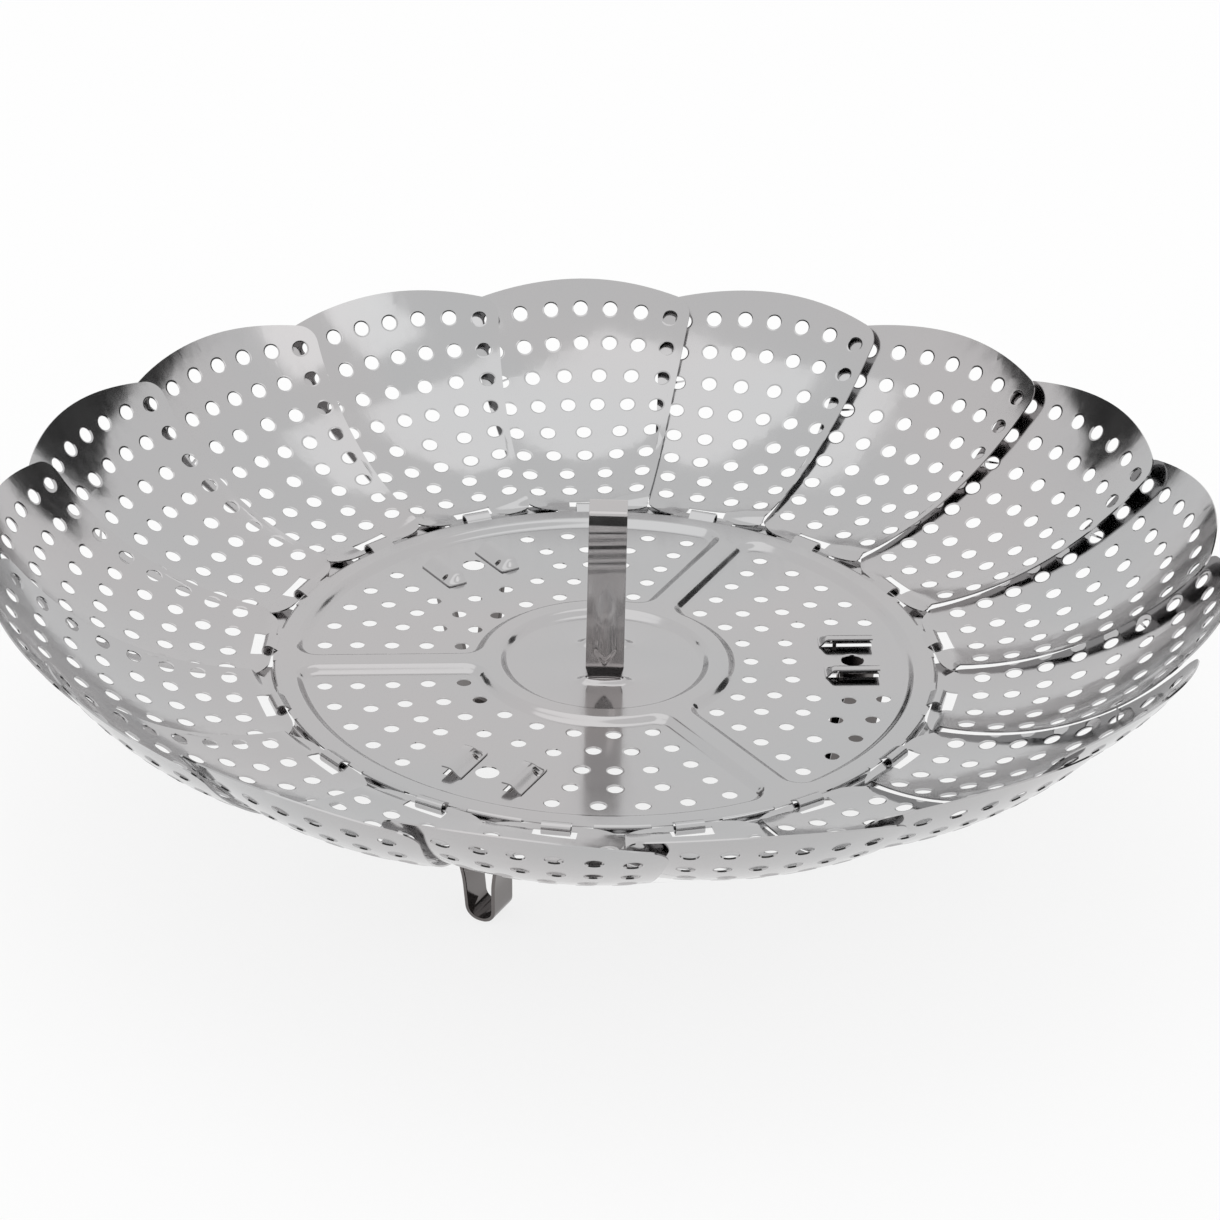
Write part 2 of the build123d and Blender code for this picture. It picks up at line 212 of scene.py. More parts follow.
# How much the roughness varies
polish_spread = 0.09

# Studio: dark cloths with their first and last angle and height, floor, lights and camera
flags = (
    ("flag_right", -62, 44, 1.2),
    ("flag_left", 133, 242, 1.1),
    ("flag_front", 242, 298, 1.2),
)
flag_distance = 2
flag_columns = 16
flag_rows = 4
white = (1, 1, 1, 1)
floor_size = 8
floor_glow_share = 0.8
fill_power_share = 0.35
camera_place = Vector((-0.0538, -0.7591, 0.4483))
camera_roll = radians(1.39)
camera_lens = 117.39
camera_shift = (0.0042, 0.0393)
camera_near = 0.01


class SteamerSizes(bpy.types.PropertyGroup):
    """Sizes of the sheet and strip that a user may change."""

    sheet: FloatProperty(
        name="Sheet", description="Thickness of the plate and petals", default=0.34 * mm, unit="LENGTH"
    )
    strip: FloatProperty(
        name="Strip", description="Thickness of the feet and handle", default=0.8 * mm, unit="LENGTH"
    )
    dimple: FloatProperty(
        name="Dimple", description="Depth of the punched rim round each petal hole",
        default=0.1 * mm, unit="LENGTH",
    )
    bead: FloatProperty(
        name="Bead", description="Height of the bead pressed in each handle leg",
        default=0.9 * mm, unit="LENGTH",
    )
    slot_lip: FloatProperty(
        name="Slot lip", description="Height of the lips round the handle slots",
        default=1 * mm, unit="LENGTH",
    )


class SteamerFinish(bpy.types.PropertyGroup):
    """Colours, polish and light that a user may change."""

    steel: FloatVectorProperty(
        name="Steel", description="Colour of the polished steel",
        default=(0.478, 0.464, 0.466), subtype="COLOR", min=0, max=1,
    )
    cool_steel: FloatVectorProperty(
        name="Cool steel", description="Cooler tint in the sheet",
        default=(0.462, 0.462, 0.466), subtype="COLOR", min=0, max=1,
    )
    strip: FloatVectorProperty(
        name="Handle", description="Colour of the handle's strip",
        default=(0.5, 0.475, 0.47), subtype="COLOR", min=0, max=1,
    )
    cool_strip: FloatVectorProperty(
        name="Cool handle", description="Cooler tint in the handle's strip",
        default=(0.45, 0.45, 0.455), subtype="COLOR", min=0, max=1,
    )
    # The feet's two colours are darkened to paint in the shade and dark reflections under the basket: painted
    # shade, not the strip's own colour
    foot: FloatVectorProperty(
        name="Feet", description="Colour of the feet's darker strip",
        default=(0.18, 0.166, 0.162), subtype="COLOR", min=0, max=1,
    )
    cool_foot_painted_shade: FloatVectorProperty(
        name="Cool feet", description="Cooler tint in the feet's strip",
        default=(0.14, 0.131, 0.13), subtype="COLOR", min=0, max=1,
    )
    polish: FloatProperty(
        name="Roughness", description="Lowest roughness of the polish",
        default=0.08, subtype="FACTOR", min=0, max=1,
    )
    floor: FloatVectorProperty(
        name="Floor", description="Colour of the studio floor",
        default=(0.9, 0.9, 0.9), subtype="COLOR", min=0, max=1,
    )
    key_power: FloatProperty(
        name="Key light", description="Power of the large soft light", default=2, unit="POWER"
    )
    world_level: FloatProperty(
        name="World level", description="Soft light from all round", default=1, min=0, max=2
    )


# Drawing in edit mode


def edit_mesh():
    """The mesh that is being edited."""
    return bmesh.from_edit_mesh(bpy.context.edit_object.data)


def update_mesh():
    """Show the vertex moves in the mesh that is being edited."""
    bpy.context.edit_object.data.update()
    bmesh.update_edit_mesh(bpy.context.edit_object.data)


def begin(name, points):
    """Begin a piece with one closed outline, and stay in edit mode."""
    bpy.ops.object.select_all(action="DESELECT")
    bpy.ops.mesh.primitive_circle_add(vertices=len(points), radius=mm)
    piece = bpy.context.object
    piece.name = name
    piece.data.name = name
    for vertex, place in zip(piece.data.vertices, points):
        vertex.co = place
    bpy.ops.object.mode_set(mode="EDIT")
    bpy.ops.mesh.select_mode(type="EDGE")
    return piece


def add_outline(points):
    """Add one more closed outline to the piece."""
    bpy.ops.mesh.select_all(action="DESELECT")
    bpy.ops.mesh.primitive_circle_add(vertices=len(points), radius=mm)
    added = [vertex for vertex in edit_mesh().verts if vertex.select]
    for vertex, place in zip(added, points):
        vertex.co = place
    update_mesh()


def near_tree(points):
    """Search tree over a list of places."""
    tree = KDTree(len(points))
    for number, place in enumerate(points):
        tree.insert(place, number)
    tree.balance()
    return tree


def select_ring(points):
    """Select the open edges that run between the given places."""
    bpy.ops.mesh.select_all(action="DESELECT")
    tree = near_tree(points)
    for edge in edit_mesh().edges:
        if len(edge.link_faces) < 2:
            edge.select_set(all(tree.find(vertex.co)[2] < same_place for vertex in edge.verts))
    update_mesh()


def fill_outlines(outlines):
    """Fill the sheet between the given outlines."""
    select_ring([place for outline in outlines for place in outline])
    bpy.ops.mesh.fill(use_beauty=True)


def grow_rings(rings):
    """Extrude the first ring, which is in the mesh, through the places of the others in turn."""
    select_ring(rings[0])
    for previous, following in zip(rings, rings[1:]):
        tree = near_tree(previous)
        bpy.ops.mesh.extrude_edges_move()
        for vertex in edit_mesh().verts:
            if vertex.select:
                vertex.co = following[tree.find(vertex.co)[1]]
        update_mesh()


def face_upwards():
    """Turn the faces of the flat or pressed sheet upwards."""
    bpy.ops.mesh.select_all(action="SELECT")
    bpy.ops.mesh.normals_make_consistent(inside=False)
    if sum(face.normal.z * face.calc_area() for face in edit_mesh().faces) < 0:
        bpy.ops.mesh.flip_normals()


def circle_points(radius, count, height, centre=(0, 0)):
    """Places round a level circle."""
    turns = [2 * pi * number / count for number in range(count)]
    across, along = centre
    return [Vector((across + radius * cos(turn), along + radius * sin(turn), height)) for turn in turns]


def arc_points(centre, radius, start, end, steps):
    """Flat places along an arc, both ends included."""
    turns = [start + (end - start) * number / steps for number in range(steps + 1)]
    return [(centre[0] + radius * cos(turn), centre[1] + radius * sin(turn)) for turn in turns]


def add_grid(name, rows):
    """Add a grid of faces and move its corners to the given rows of places."""
    columns = len(rows[0])
    bpy.ops.object.select_all(action="DESELECT")
    bpy.ops.mesh.primitive_grid_add(x_subdivisions=columns - 1, y_subdivisions=len(rows) - 1, size=1)
    piece = bpy.context.object
    piece.name = name
    piece.data.name = name
    if len(piece.data.vertices) != columns * len(rows):
        raise RuntimeError("The grid of " + name + " has the wrong number of corners")
    for vertex in piece.data.vertices:
        column = round((vertex.co.x + 0.5) * (columns - 1))
        row = round((vertex.co.y + 0.5) * (len(rows) - 1))
        vertex.co = rows[row][column]
    return piece


def flip_down_faces(piece):
    """Turn the faces of an open sheet upwards."""
    piece.data.update()
    if sum(face.normal.z * face.area for face in piece.data.polygons) < 0:
        bpy.ops.object.mode_set(mode="EDIT")
        bpy.ops.mesh.select_all(action="SELECT")
        bpy.ops.mesh.flip_normals()
        bpy.ops.object.mode_set(mode="OBJECT")


def choose(*pieces):
    """Select only the given pieces, with the first one active."""
    bpy.ops.object.select_all(action="DESELECT")
    for piece in pieces:
        piece.select_set(True)
    bpy.context.view_layer.objects.active = pieces[0]


def apply_modifier(piece, kind, **settings):
    """Add a modifier with its settings, and apply it."""
    choose(piece)
    modifier = piece.modifiers.new(kind.title(), kind)
    for setting, value in settings.items():
        setattr(modifier, setting, value)
    bpy.ops.object.modifier_apply(modifier=modifier.name)


def thicken(piece, thickness, offset):
    """Give an open sheet its thickness."""
    apply_modifier(piece, "SOLIDIFY", thickness=thickness, offset=offset, use_even_offset=True)


def smooth(piece, angle):
    """Shade a piece smooth, but for edges that turn more than the angle."""
    choose(piece)
    bpy.ops.object.shade_smooth_by_angle(angle=radians(angle))


def turned_copy(piece, name, turn):
    """Copy a piece with its own mesh, turned about the basket's axis."""
    choose(piece)
    bpy.ops.object.duplicate()
    copy = bpy.context.object
    copy.name = name
    copy.data.name = name
    copy.rotation_euler.z = turn
    bpy.ops.object.transform_apply(location=False, rotation=True, scale=False)
    return copy


def join(pieces):
    """Join pieces into the first of them."""
    choose(*pieces)
    bpy.ops.object.join()
    return bpy.context.object


def hand_over(piece, body, node):
    """Let a piece ride on its body in place of its CAD node."""
    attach(piece, body)
    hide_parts(node)


def rounded_path(corners, radii, run_step):
    """Places and left-hand normals along straight runs that are joined by arcs."""
    ends = [Vector(corner) for corner in corners]
    path = []
    start = ends[0]
    for number, radius in enumerate(radii):
        before = (ends[number + 1] - ends[number]).normalized()
        after = (ends[number + 2] - ends[number + 1]).normalized()
        turn = atan2(before.x * after.y - before.y * after.x, before.dot(after))
        touch = ends[number + 1] - before * radius * tan(abs(turn) / 2)
        left = Vector((-before.y, before.x))
        steps = max(1, ceil((touch - start).length / run_step))
        path += [(start.lerp(touch, step / steps), left) for step in range(steps)]
        side = 1 if turn > 0 else -1
        centre = touch + left * radius * side
        arc_steps = max(2, ceil(abs(degrees(turn)) / arc_step))
        for step in range(arc_steps):
            rotation = Matrix.Rotation(turn * step / arc_steps, 2)
            path.append((centre - rotation @ (left * radius * side), rotation @ left))
        start = centre - Matrix.Rotation(turn, 2) @ (left * radius * side)
    last = (ends[-1] - start).normalized()
    left = Vector((-last.y, last.x))
    steps = max(1, ceil((ends[-1] - start).length / run_step))
    path += [(start.lerp(ends[-1], step / steps), left) for step in range(steps + 1)]
    return path


def held(share):
    """A share kept from 0 to 1."""
    return min(1, max(0, share))


def smoothed(share):
    """Share of a smooth step, kept from 0 to 1."""
    share = held(share)
    return share * share * (3 - 2 * share)


def petal_turn(number):
    """Angle from +X to the middle of a petal, counted clockwise from above."""
    return radians(first_petal_angle - 360 / petal_count * number)


def dip_steps(radius, collar, leads):
    """Radius and share of the dip of each ring, from a hole's collar to its edge."""
    outer, inner = leads
    lead = collar - collar_lead
    return (collar, 0), (lead, 0), (radius + outer, 0.12), (radius + inner, 0.5), (radius, 1)


# Petals


def petal_half_width(along):
    """Half the petal's width at a distance along it."""
    return petal_inner_half_width + petal_growth * along


def petal_hole_places():
    """Centre of each petal hole on the flat blank."""
    places = []
    for along_share, fall_share, across_shares in petal_rows:
        for share in across_shares:
            along = petal_length * (along_share - fall_share * (share / max(across_shares)) ** 2)
            places.append((petal_half_width(along) * share, along))
    return places


def petal_outline():
    """Flat outline of the petal, with its rounded corners and tip."""
    slant = sqrt(1 + petal_growth**2)
    side_turn = -atan2(petal_growth, 1)
    corner_width, corner_height = petal_inner_corner
    inner_along = petal_inner_line + corner_height
    inner_across = petal_half_width(inner_along) - corner_width
    tip_centre = petal_length - petal_tip_radius
    reach = petal_inner_half_width - petal_tip_corner * slant
    square = 1 + petal_growth**2
    middle = petal_growth * reach - tip_centre
    rest = reach**2 + tip_centre**2 - (petal_tip_radius - petal_tip_corner) ** 2
    corner_along = (-middle + sqrt(middle**2 - square * rest)) / square
    corner_centre = (reach + petal_growth * corner_along, corner_along)
    tip_turn = atan2(corner_centre[1] - tip_centre, corner_centre[0])
    turns = [-pi / 2 * (1 - step / corner_steps) for step in range(corner_steps + 1)]
    right = [
        (inner_across + corner_width * cos(turn), inner_along + corner_height * sin(turn)) for turn in turns
    ]
    right += arc_points(corner_centre, petal_tip_corner, side_turn, tip_turn, tip_corner_steps)
    tip = arc_points((0, tip_centre), petal_tip_radius, tip_turn, pi - tip_turn, tip_steps)
    left = [(-across, along) for across, along in reversed(right)]
    return [widened(across, along) for across, along in right + tip[1:-1] + left]


def widened(across, along):
    """A place of the outline, where the hidden side has a wider margin and a cut inner corner."""
    rise = smoothed((along - margin_start) / margin_ramp)
    fall = smoothed((along - margin_fall_start) / margin_fall_ramp)
    corner = cut_corner_width * (1 - smoothed(along / cut_corner_length))
    margin = petal_hidden_margin * rise * (1 - margin_fall_share * fall) - corner
    return Vector((across - margin * smoothed(-across / petal_half_width(along)), along, 0))


def petal_place(flat):
    """Place on the dished petal, on the +X side, of a point on the flat blank."""
    across, along, lift = flat
    ramp = held((along - bar_width / 2) / roll_ramp_length)
    ramp = (ramp + smoothed(ramp)) / 2
    slope = max(0, (along - bar_width / 2) / petal_dish_radius)
    radius = hinge_radius + min(along, bar_width / 2) + petal_dish_radius * sin(slope)
    height = hinge_height + petal_dish_radius * (1 - cos(slope))
    inner = Vector((-sin(slope), 0, cos(slope)))
    roll = petal_roll * ramp
    across_way = Vector((0, -1, 0)) * cos(roll) + inner * sin(roll)
    normal = inner * cos(roll) - Vector((0, -1, 0)) * sin(roll)
    lean = across * ramp / petal_cross_radius
    rise = ramp * across**2 / (2 * petal_cross_radius)
    raised = normal * cos(lean) - across_way * sin(lean)
    return Vector((radius, 0, height)) + across_way * across + normal * rise + raised * lift


def make_petal_blank(sizes):
    """One perforated petal on the +X side: cut flat, its holes dimpled, and bent to its dish."""
    outline = petal_outline()
    window = [
        Vector((side * window_half_width, bar_width / 2 + depth, 0))
        for side, depth in ((-1, 0), (1, 0), (1, window_depth), (-1, window_depth))
    ]
    centres = petal_hole_places()
    collars = [circle_points(petal_collar_radius, hole_points, 0, centre) for centre in centres]
    petal = begin("petal_blank", outline)
    for points in [window] + collars:
        add_outline(points)
    fill_outlines([outline, window] + collars)
    # Straight cuts along and across, so that the sheet can bend
    ramp_end = bar_width / 2 + roll_ramp_length
    lines = [bar_width / 2 + step * roll_ramp_length / ramp_cuts for step in range(ramp_cuts + 1)]
    lines += [ramp_end + step * bend_spacing for step in range(1, bend_cuts + 1)]
    for along in lines:
        bpy.ops.mesh.select_all(action="SELECT")
        bpy.ops.mesh.bisect(plane_co=(0, along, 0), plane_no=(0, 1, 0))
    for step in range(-side_cuts, side_cuts + 1):
        bpy.ops.mesh.select_all(action="SELECT")
        bpy.ops.mesh.bisect(plane_co=(step * side_spacing, 0, 0), plane_no=(1, 0, 0))
    bpy.ops.mesh.select_all(action="SELECT")
    bpy.ops.mesh.remove_doubles(threshold=merge_distance)
    # Punched rims: rings that dip to the outside towards each hole
    tree = near_tree([Vector((across, along, 0)) for across, along in centres])
    reach = petal_collar_radius * collar_reach_share
    bpy.ops.mesh.select_all(action="DESELECT")
    for edge in edit_mesh().edges:
        if edge.is_boundary:
            edge.select_set(all(tree.find(vertex.co)[2] < reach for vertex in edge.verts))
    update_mesh()
    rings = dip_steps(petal_hole_radius, petal_collar_radius, petal_dip_leads)
    for number, (radius, depth_share) in enumerate(rings):
        if number:
            bpy.ops.mesh.extrude_edges_move()
        for vertex in edit_mesh().verts:
            if vertex.select:
                centre = tree.find(vertex.co)[0]
                way = (vertex.co - centre).to_2d().normalized() * radius
                vertex.co = (centre.x + way.x, centre.y + way.y, -sizes.dimple * depth_share)
        update_mesh()
    face_upwards()
    for vertex in edit_mesh().verts:
        vertex.co = petal_place(vertex.co)
    update_mesh()
    bpy.ops.object.mode_set(mode="OBJECT")
    thicken(petal, sizes.sheet, 0)
    smooth(petal, sheet_edge_angle)
    return petal


# Plate


def sector_outline(offset, height, turn):
    """Outline of a perforated sector, at an offset from the edge of its floor."""
    rib_turn = pi / foot_count
    corner = sector_corner + offset
    clear = rib_half_width + sector_corner
    half = []
    for reach in (sector_outer_radius - sector_corner, sector_inner_radius + sector_corner):
        run = sqrt(reach**2 - clear**2)
        centre = (
            run * cos(rib_turn) + clear * sin(rib_turn),
            run * sin(rib_turn) - clear * cos(rib_turn),
        )
        half.append((centre, atan2(centre[1], centre[0])))
    (outer_centre, outer_turn), (inner_centre, inner_turn) = half
    rib_side = rib_turn + pi / 2
    upper = arc_points((0, 0), sector_outer_radius + offset, 0, outer_turn, sector_outer_steps)[:-1]
    upper += arc_points(outer_centre, corner, outer_turn, rib_side, corner_steps)
    upper += arc_points(inner_centre, corner, rib_side, inner_turn + pi, corner_steps)
    upper += arc_points((0, 0), sector_inner_radius - offset, inner_turn, 0, sector_inner_steps)[1:]
    lower = [(across, -along) for across, along in reversed(upper[1:-1])]
    rotation = Matrix.Rotation(turn, 3, "Z")
    return [rotation @ Vector((across, along, height)) for across, along in upper + lower]


def wall_height(offset):
    """Height of the pressed wall at an offset from the edge of the floor."""
    first, last = wall_offsets[1], wall_offsets[-2]
    return floor_top + (rim_top - floor_top) * smoothed((offset - first) / (last - first))


def hole_rings(centres, radius, collar, count):
    """Rings from the collars of a group of holes to the dipped edges of the holes."""
    rings = []
    for size, share in dip_steps(radius, collar, plate_dip_leads):
        height = floor_top - plate_dip * share
        rings.append([place for centre in centres for place in circle_points(size, count, height, centre)])
    return rings


def slot_rings(side, lip):
    """Rings of the raised lip round one handle slot."""
    steps = ((7.2, 2.9, 0), (6.6, 2.6, 0.05), (5.8, 2.25, 0.2), (5.2, 1.95, 0.45), (4.8, 1.65, 0.75))
    steps += ((4.5, 1.35, 0.95), (4.2, 1.05, 1), (3.95, 0.85, 0.95), (3.85, 0.78, 0.8))
    rotation = Matrix.Rotation(handle_turn, 3, "Z")
    rings = []
    for length, width, share in steps:
        points = []
        for step in range(slot_points):
            turn = 2 * pi * (step + 0.5) / slot_points
            across = abs(cos(turn)) ** slot_roundness * (1 if cos(turn) > 0 else -1)
            along = width * mm * sin(turn) + side * slot_spread
            points.append(Vector((length * mm * across, along, floor_top + lip * share)))
        rings.append([rotation @ point for point in points])
    return rings


def louver_slot(side, turn):
    """Outline of the slot under one louver."""
    near = side * leg_spread - louver_slot_near
    far = side * leg_spread + louver_slot_far
    corners = ((louver_inner, near), (louver_outer, near), (louver_outer, far), (louver_inner, far))
    rotation = Matrix.Rotation(turn, 3, "Z")
    return [rotation @ Vector((x, y, floor_top)) for x, y in corners]


def make_pressed_sheet(sizes):
    """The plate's pressed and perforated sheet, out to its rim."""
    disc = [
        circle_points(disc_floor_radius + offset, disc_points, wall_height(offset)) for offset in wall_offsets
    ]
    lips = [slot_rings(side, sizes.slot_lip) for side in (-1, 1)]
    sheet = begin("plate_sheet", disc[0])
    for rings in lips:
        add_outline(rings[0])
    fill_outlines([disc[0]] + [rings[0] for rings in lips])
    for rings in lips:
        grow_rings(rings)
    grow_rings(disc)
    tops = [disc[-1]]
    for foot in range(foot_count):
        turn = 2 * pi * foot / foot_count
        walls = [sector_outline(offset, wall_height(offset), turn) for offset in wall_offsets]
        centres = []
        for share, angles in sector_rows:
            for angle in sorted({side * angle for angle in angles for side in (-1, 1)}):
                way = turn + radians(angle)
                centres.append((plate_radius * share * cos(way), plate_radius * share * sin(way)))
        holes = hole_rings(centres, plate_hole_radius, plate_collar_radius, hole_points)
        gap_centre = [(gap_hole_place * cos(turn), gap_hole_place * sin(turn))]
        gap = hole_rings(gap_centre, gap_hole_radius, gap_collar_radius, gap_points)
        slots = [louver_slot(side, turn) for side in (-1, 1)]
        add_outline(walls[0])
        for number in range(len(centres)):
            add_outline(holes[0][hole_points * number : hole_points * (number + 1)])
        add_outline(gap[0])
        for slot in slots:
            add_outline(slot)
        fill_outlines([walls[0], holes[0], gap[0]] + slots)
        grow_rings(holes)
        grow_rings(gap)
        grow_rings(walls)
        tops.append(walls[-1])
    edge = circle_points(rim_edge_radius, rim_points_per_petal * petal_count, rim_top)
    add_outline(edge)
    fill_outlines(tops + [edge])
    face_upwards()
    bpy.ops.object.mode_set(mode="OBJECT")
    thicken(sheet, sizes.sheet, -1)
    return sheet


def make_tab(sizes):
    """One hinge tab on the +X side: it rises from the rim and curls round the petal's bar."""
    rise = Vector((tab_reach, rim_top - sizes.sheet / 2 - hinge_height))
    middle = curl_radius - sizes.sheet / 2
    touch = atan2(rise.y, -rise.x) - acos(middle / rise.length)
    path = [(0.08, 0), (0.22, 0.05), (0.4, 0.2), (0.6, 0.34), (0.9, 0.53), (1.3, 0.748)]
    path = [(rim_edge_radius + x * mm, rim_top + z * mm) for x, z in path]
    path += arc_points((hinge_radius, hinge_height), curl_radius, touch, touch - curl_turn, curl_steps)
    across = [tab_half_width * share for share in tab_shares]
    rows = [[Vector((sqrt(rim_edge_radius**2 - t * t), t, rim_top)) for t in across]]
    for x, z in path:
        rows.append([Vector((x, t, z)) for t in across])
    tab = add_grid("tab_blank", rows)
    thicken(tab, sizes.sheet, -1)
    return tab


def make_lip(side, sizes):
    """The rim's flat edge beside the hinge tab on the +X side, where the skirt is cut away."""
    columns, last_row = 4, 3
    width = notch_half_width - tab_half_width
    across = [side * (tab_half_width + width * step / columns) for step in range(columns + 1)]
    rows = []
    for step in range(last_row + 1):
        radius = rim_edge_radius + (plate_radius - rim_edge_radius) * step / last_row
        height = rim_top - lip_drop * step / last_row
        rows.append([Vector((sqrt(radius**2 - t * t), t, height)) for t in across])
    lip = add_grid("lip_blank", rows)
    flip_down_faces(lip)
    thicken(lip, sizes.sheet, -1)
    return lip


def make_skirt(sizes):
    """One down-turned length of the rim between two hinge tabs, with its turned-out edge."""
    half_notch = atan2(notch_half_width, plate_radius)
    half_pitch = pi / petal_count
    reach = half_pitch - half_notch
    turns = [half_pitch + reach * (1 - step / skirt_steps) for step in range(2 * skirt_steps + 1)]
    profile = ((0, 0), (0.15, 0), (0.4, -0.03), (0.68, -0.12), (0.92, -0.3), (1.05, -0.55), (1.1, -0.85))
    profile += ((1.1, -1.3), (1.16, -1.55), (1.34, -1.72), (1.62, -1.76))
    profile += ((2.4, -1.6), (4, -1.2), (5.5, -0.85))
    rows = []
    for out, drop in profile:
        radius = rim_edge_radius + out * mm
        height = rim_top + drop * mm
        rows.append([Vector((radius * cos(turn), radius * sin(turn), height)) for turn in turns])
    skirt = add_grid("skirt_blank", rows)
    thicken(skirt, sizes.sheet, -1)
    return skirt


def add_rod(radius, length, across):
    """A short rod along Y, at the pivot of the foot on the +X side."""
    bpy.ops.object.select_all(action="DESELECT")
    bpy.ops.mesh.primitive_cylinder_add(
        vertices=rod_points,
        radius=radius,
        depth=length,
        location=(pivot_radius, across, pivot_height),
        rotation=(pi / 2, 0, 0),
    )
    return bpy.context.object


def make_louver(side, sizes):
    """One raised louver of the foot on the +X side, with the bearing hole for its pin."""
    wall = side * leg_spread + louver_half_width
    sink = 0.04
    profile = ((1.9, 0.02), (1.7, 0.05), (1.45, 0.12), (1.15, 0.28), (0.8, 0.53), (0.4, 0.84), (0, 1.15))
    profile += ((-0.4, 1.44), (-0.75, 1.59), (-1.1, 1.65), (-1.8, 1.67), (-2.6, 1.65))
    last = 6
    lengths = [louver_inner + step * mm for step in (0, 0.25, 0.5, 0.8, 1.1, 1.4, 1.7, 2)]
    lengths += [louver_inner + (louver_outer - louver_inner) * step / last for step in range(2, last + 1)]
    rise = [smoothed((x - louver_inner) / louver_fade) for x in lengths]
    rows = []
    for t, z in profile:
        across = wall + t * mm
        rows.append([Vector((x, across, floor_top + (z * up - sink) * mm)) for x, up in zip(lengths, rise)])
    louver = add_grid("louver_blank", rows)
    thicken(louver, sizes.sheet, -1)
    drill = add_rod(bearing_radius, bearing_depth, wall + bearing_offset)
    apply_modifier(louver, "BOOLEAN", object=drill, operation="DIFFERENCE", solver="MANIFOLD")
    bpy.data.objects.remove(drill)
    return louver


# Feet and handle


def round_edges(piece, width, angle):
    """Round the edges of a piece that turn more than the angle."""
    apply_modifier(piece, "BEVEL", width=width, segments=2, limit_method="ANGLE", angle_limit=radians(angle))


def make_strip(name, rows, thickness):
    """A bent strip through the given rows of places, with rounded edges."""
    strip = add_grid(name, rows)
    thicken(strip, thickness, 0)
    round_edges(strip, strip_rounding, 50)
    return strip


def strip_path(half, half_radii, run_step):
    """Path of a strip that is alike on both sides, from one side's corners and their radii in mm."""
    corners = [(-across, height) for across, height in half] + half[::-1]
    return rounded_path(corners, [radius * mm for radius in half_radii + half_radii[::-1]], run_step)


def make_foot_blank(sizes):
    """One folding foot on the +X side: bent strip, necks and pivot pins."""
    half = [(leg_spread, foot_top), (leg_spread, 30.5 * mm), (3.4 * mm, 10 * mm), (3 * mm, 0.4 * mm)]
    rows = []
    for place, _ in strip_path(half, (9, 22, 2.8), 2 * mm):
        inner = foot_inner - foot_lean * (foot_top - place.y) / foot_top
        rows.append([Vector((inner + foot_width * share, place.x, place.y)) for share in foot_shares])
    parts = [make_strip("foot_blank", rows, sizes.strip)]
    web_bottom = foot_top - web_depth
    web_end = foot_inner + web_overlap
    outline = [(pivot_radius - eye_radius, web_bottom), (web_end, web_bottom)]
    outline += [(web_end, foot_top), (pivot_radius + eye_radius, foot_top)]
    outline += arc_points((pivot_radius, pivot_height), eye_radius, 0, pi, corner_steps)
    for side in (-1, 1):
        points = [Vector((x, side * leg_spread, z)) for x, z in outline]
        neck = begin("neck", points)
        fill_outlines([points])
        bpy.ops.object.mode_set(mode="OBJECT")
        apply_modifier(neck, "SOLIDIFY", thickness=sizes.strip * web_thickness_share, offset=0)
        parts.append(neck)
        pin = add_rod(pin_radius, pin_length, side * leg_spread + pin_offset)
        bpy.ops.object.transform_apply(location=True, rotation=True, scale=True)
        round_edges(pin, pin_rounding, 60)
        parts.append(pin)
    foot = join(parts)
    smooth(foot, strip_edge_angle)
    return foot


def bead_rise(across, height, bead):
    """How far the long bead stands out of the handle's leg."""
    from_floor = (height - floor_top) / mm
    width = abs(across) / mm
    start = bead_bottom + bead_bottom_slant * width
    bottom = held((from_floor - start + bead_bottom_lead) / bead_bottom_ramp)
    top = held((bead_top - bead_top_slant * width - from_floor) / bead_top_ramp)
    return bead * smoothed(bottom * top) * smoothed((bead_half_width - width) / bead_side_ramp)


def crown_ripple(across, height):
    """Small ripples that the bending left under the handle's top."""
    from_top = (crown_height - height) / mm
    fade = smoothed((from_top - ripple_start) / ripple_start_ramp)
    fade *= smoothed((ripple_end - from_top) / ripple_end_ramp)
    sway = ripple_sway * across / strip_half_width
    return ripple_height * mm * fade * sin(2 * pi * (from_top / ripple_length + sway))


def make_handle(sizes):
    """The upright strip handle, with its shoulders, beads and hooked ends."""
    half = [(hook_reach, hook_bottom), (slot_spread, hook_bottom), (slot_spread, leg_bend_height)]
    half += [crown_corner, (crown_half_width, crown_height)]
    shares = [step / handle_steps for step in range(-handle_steps, handle_steps + 1)]
    rows = []
    for place, outward in strip_path(half, (1.2, 5, 3, 0.9), 0.5 * mm):
        share = held((place.y - lip_top) / (shoulder_height - lip_top))
        half_width = neck_half_width + (strip_half_width - neck_half_width) * share
        row = []
        for across_share in shares:
            across = half_width * across_share
            stand = bead_rise(across, place.y, sizes.bead) + crown_ripple(across, place.y)
            out = place + outward * stand
            row.append(Vector((across, out.x, out.y)))
        rows.append(row)
    strip = make_strip("handle_strip", rows, sizes.strip)
    smooth(strip, strip_edge_angle)
    handle = turned_copy(strip, "lift_handle_strip", handle_turn)
    bpy.data.objects.remove(strip)
    return handle


# Finishes


def new_material(name):
    """A new material, with its nodes and links."""
    material = bpy.data.materials.new(name)
    material.use_nodes = True
    return material, material.node_tree.nodes, material.node_tree.links


def add_node(nodes, kind, inputs):
    """Add a shader node and set its inputs by their names."""
    node = nodes.new(kind)
    for name, value in inputs.items():
        node.inputs[name].default_value = value
    return node


